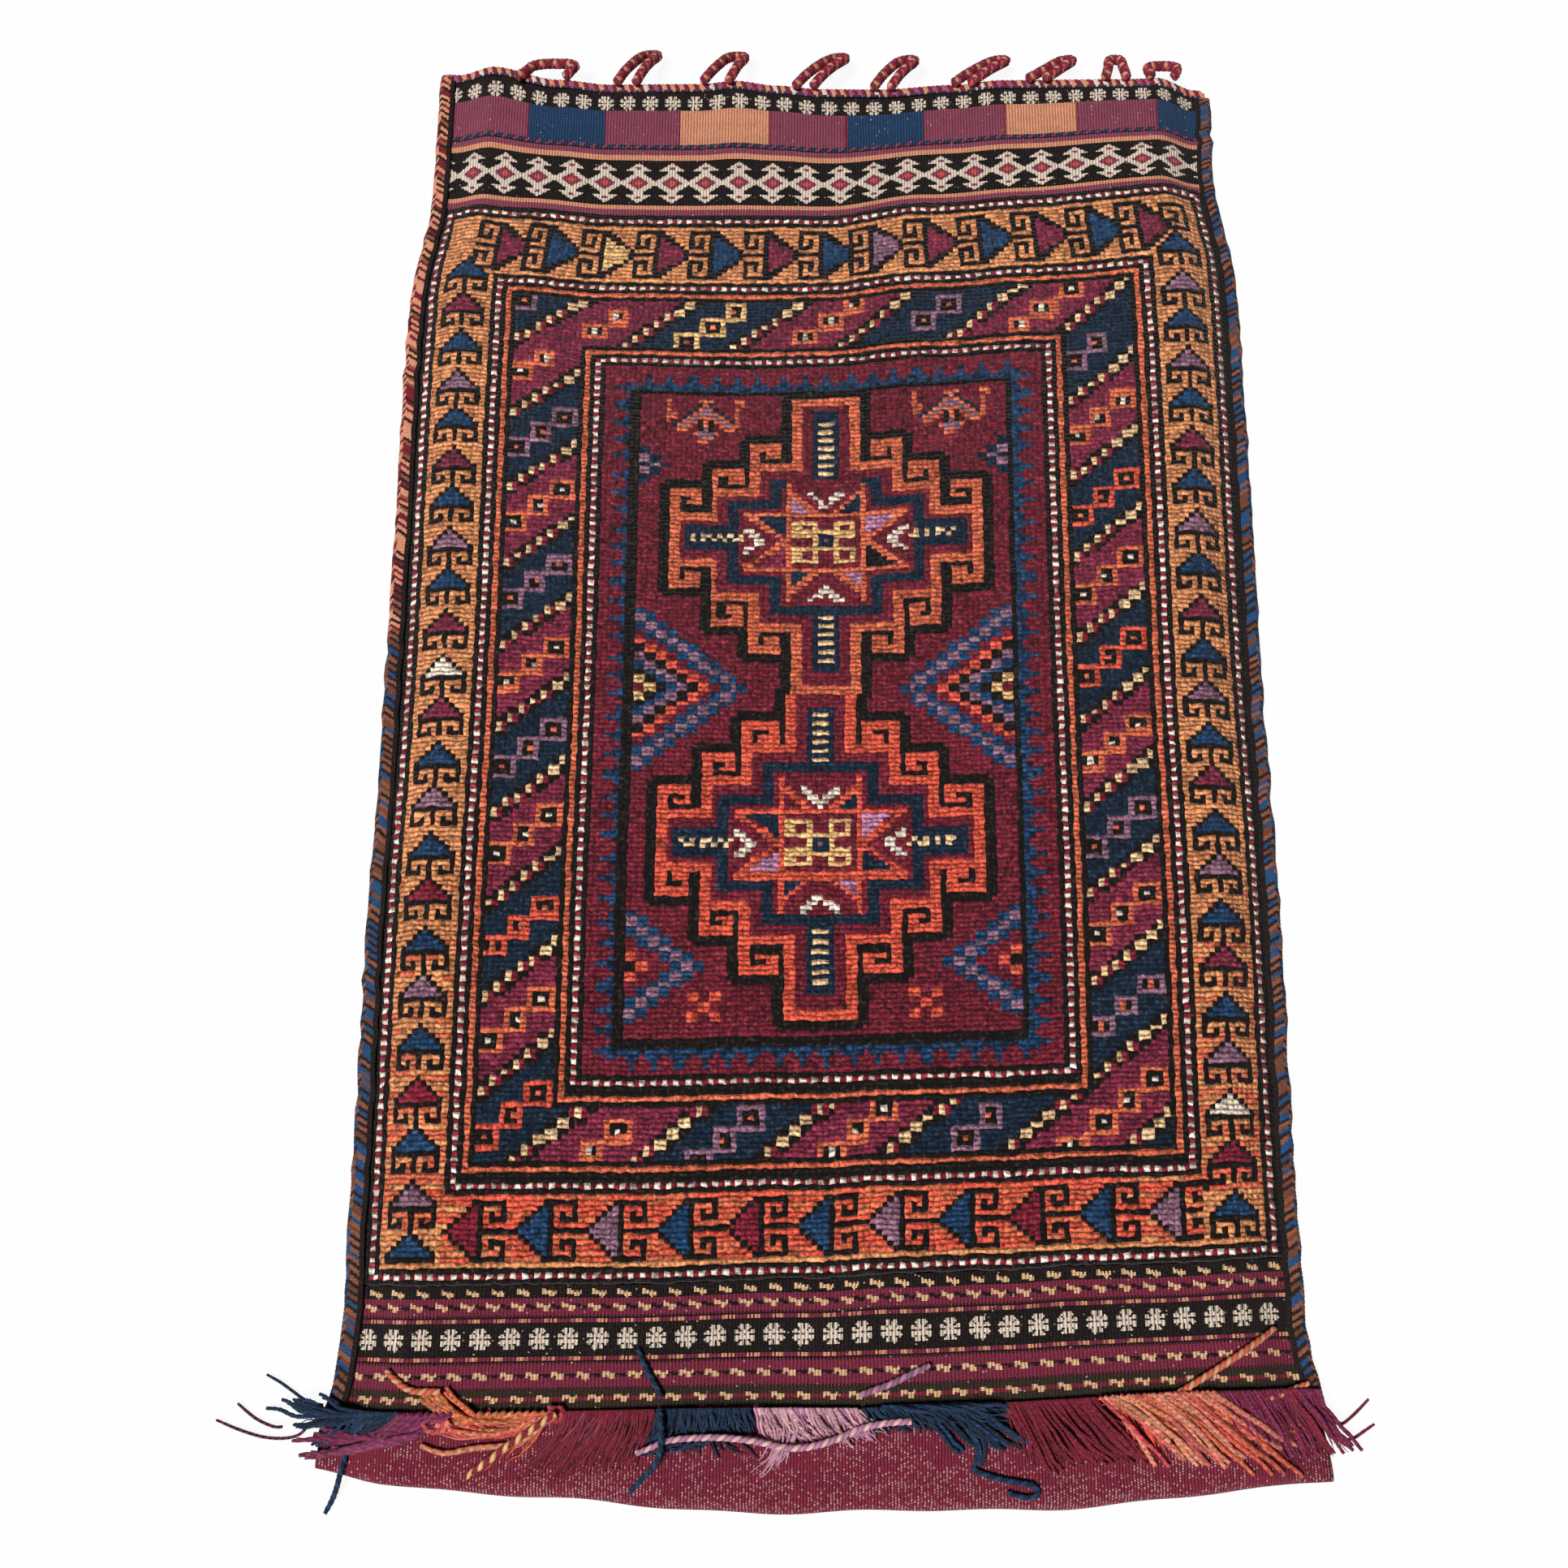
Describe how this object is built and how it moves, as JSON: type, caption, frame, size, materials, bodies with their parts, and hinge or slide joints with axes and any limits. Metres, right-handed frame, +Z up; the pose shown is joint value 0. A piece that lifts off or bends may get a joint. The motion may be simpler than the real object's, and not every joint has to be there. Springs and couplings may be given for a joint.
{
  "type": "tribal pillow bag",
  "caption": "Flat woven wool pillow bag with a knotted pile face, overcast sides, braided closure loops along its open mouth and a knotted fringe over its apron.",
  "frame": {"origin": "middle of the bag's footprint on the floor, loose cords left out", "axes": "+Y along the bag from its bottom fold to its mouth, +X across it to the right as seen from above its pile face, +Z up, away from the floor, out of the pile face"},
  "size_m": [0.6999, 1.0574, 0.0308],
  "materials": {
    "wool_plain_weave": "plum plain weave wool with pale flecks, matt",
    "wool_pile": "knotted wool pile, softly lustrous",
    "wool_flatweave": "patterned weft-float flatweave, matt",
    "wool_binding": "overcast wool yarn in navy and rust, matt",
    "wool_overcast": "overcast wool yarn in peach, maroon and white, matt",
    "wool_braid": "braided wool cord in maroon and coral, matt",
    "wool_navy": "navy wool yarn, matt",
    "wool_plum": "plum wool yarn, matt",
    "wool_orange": "plied orange and coral wool yarn, matt",
    "wool_maroon": "loose maroon wool yarn, matt",
    "wool_lilac": "lilac wool yarn, matt"
  },
  "bodies": {
    "bag": {"back_cloth": "wool_plain_weave", "apron_cloth": "wool_plain_weave", "pile_panel": "wool_pile", "upper_flatweave": "wool_flatweave", "lower_flatweave": "wool_flatweave", "side_binding_left": "wool_binding", "side_binding_right": "wool_binding", "mouth_edge_front": "wool_overcast", "mouth_edge_back": "wool_plain_weave", "cord_navy_up": "wool_navy", "cord_lilac_up": "wool_lilac", "cord_orange_up": "wool_orange", "cord_orange_side": "wool_orange", "cord_orange_left": "wool_orange", "cord_stray_left_1": "wool_navy"},
    "loop_1": {"closure_loop_1": "wool_braid"},
    "loop_2": {"closure_loop_2": "wool_braid"},
    "loop_3": {"closure_loop_3": "wool_braid"},
    "loop_4": {"closure_loop_4": "wool_braid"},
    "loop_5": {"closure_loop_5": "wool_braid"},
    "loop_6": {"closure_loop_6": "wool_braid"},
    "loop_7": {"closure_loop_7": "wool_braid"},
    "loop_8": {"closure_loop_8": "wool_braid"},
    "loop_9": {"closure_loop_9": "wool_braid"},
    "fringe_left": {"fringe_navy_left": "wool_navy", "fringe_plum_left": "wool_plum", "fringe_orange_left": "wool_orange", "cord_orange_down": "wool_orange", "cord_navy_corner": "wool_navy", "cord_stray_left_2": "wool_navy", "cord_stray_left_3": "wool_navy"},
    "fringe_middle": {"fringe_maroon_tuft": "wool_maroon", "fringe_navy_tuft": "wool_navy", "fringe_lilac_tuft": "wool_lilac", "fringe_navy_right": "wool_navy", "fringe_maroon_right": "wool_maroon", "cord_navy_down": "wool_navy", "cord_lilac": "wool_lilac", "cord_navy_loop": "wool_navy"},
    "fringe_right": {"fringe_orange_right": "wool_orange", "fringe_plum_right": "wool_plum", "cord_stray_right_1": "wool_plum", "cord_stray_right_2": "wool_plum"}
  },
  "joints": [
    {"name": "loop_1_turn", "type": "hinge", "parent": "bag", "child": "loop_1", "pos_m": [-0.2155, 0.48104, 0.02485], "axis": [1, 0, 0], "range_deg": [0, 170]},
    {"name": "loop_2_turn", "type": "hinge", "parent": "bag", "child": "loop_2", "pos_m": [-0.1493, 0.48104, 0.02485], "axis": [1, 0, 0], "range_deg": [0, 170]},
    {"name": "loop_3_turn", "type": "hinge", "parent": "bag", "child": "loop_3", "pos_m": [-0.0801, 0.48104, 0.02485], "axis": [1, 0, 0], "range_deg": [0, 170]},
    {"name": "loop_4_turn", "type": "hinge", "parent": "bag", "child": "loop_4", "pos_m": [-0.0127, 0.48104, 0.02485], "axis": [1, 0, 0], "range_deg": [0, 170]},
    {"name": "loop_5_turn", "type": "hinge", "parent": "bag", "child": "loop_5", "pos_m": [0.0475, 0.48104, 0.02485], "axis": [1, 0, 0], "range_deg": [0, 170]},
    {"name": "loop_6_turn", "type": "hinge", "parent": "bag", "child": "loop_6", "pos_m": [0.1086, 0.48104, 0.02485], "axis": [1, 0, 0], "range_deg": [0, 170]},
    {"name": "loop_7_turn", "type": "hinge", "parent": "bag", "child": "loop_7", "pos_m": [0.1658, 0.48104, 0.02485], "axis": [1, 0, 0], "range_deg": [0, 170]},
    {"name": "loop_8_turn", "type": "hinge", "parent": "bag", "child": "loop_8", "pos_m": [0.2281, 0.48104, 0.02485], "axis": [1, 0, 0], "range_deg": [0, 170]},
    {"name": "loop_9_turn", "type": "hinge", "parent": "bag", "child": "loop_9", "pos_m": [0.2643, 0.48104, 0.02485], "axis": [1, 0, 0], "range_deg": [0, 170]},
    {"name": "fringe_left_lift", "type": "hinge", "parent": "bag", "child": "fringe_left", "pos_m": [-0.22, -0.46626, 0.0216], "axis": [-1, 0, 0], "range_deg": [0, 120]},
    {"name": "fringe_middle_lift", "type": "hinge", "parent": "bag", "child": "fringe_middle", "pos_m": [0.0033, -0.46626, 0.0216], "axis": [-1, 0, 0], "range_deg": [0, 120]},
    {"name": "fringe_right_lift", "type": "hinge", "parent": "bag", "child": "fringe_right", "pos_m": [0.22, -0.46626, 0.0216], "axis": [-1, 0, 0], "range_deg": [0, 120]}
  ]
}
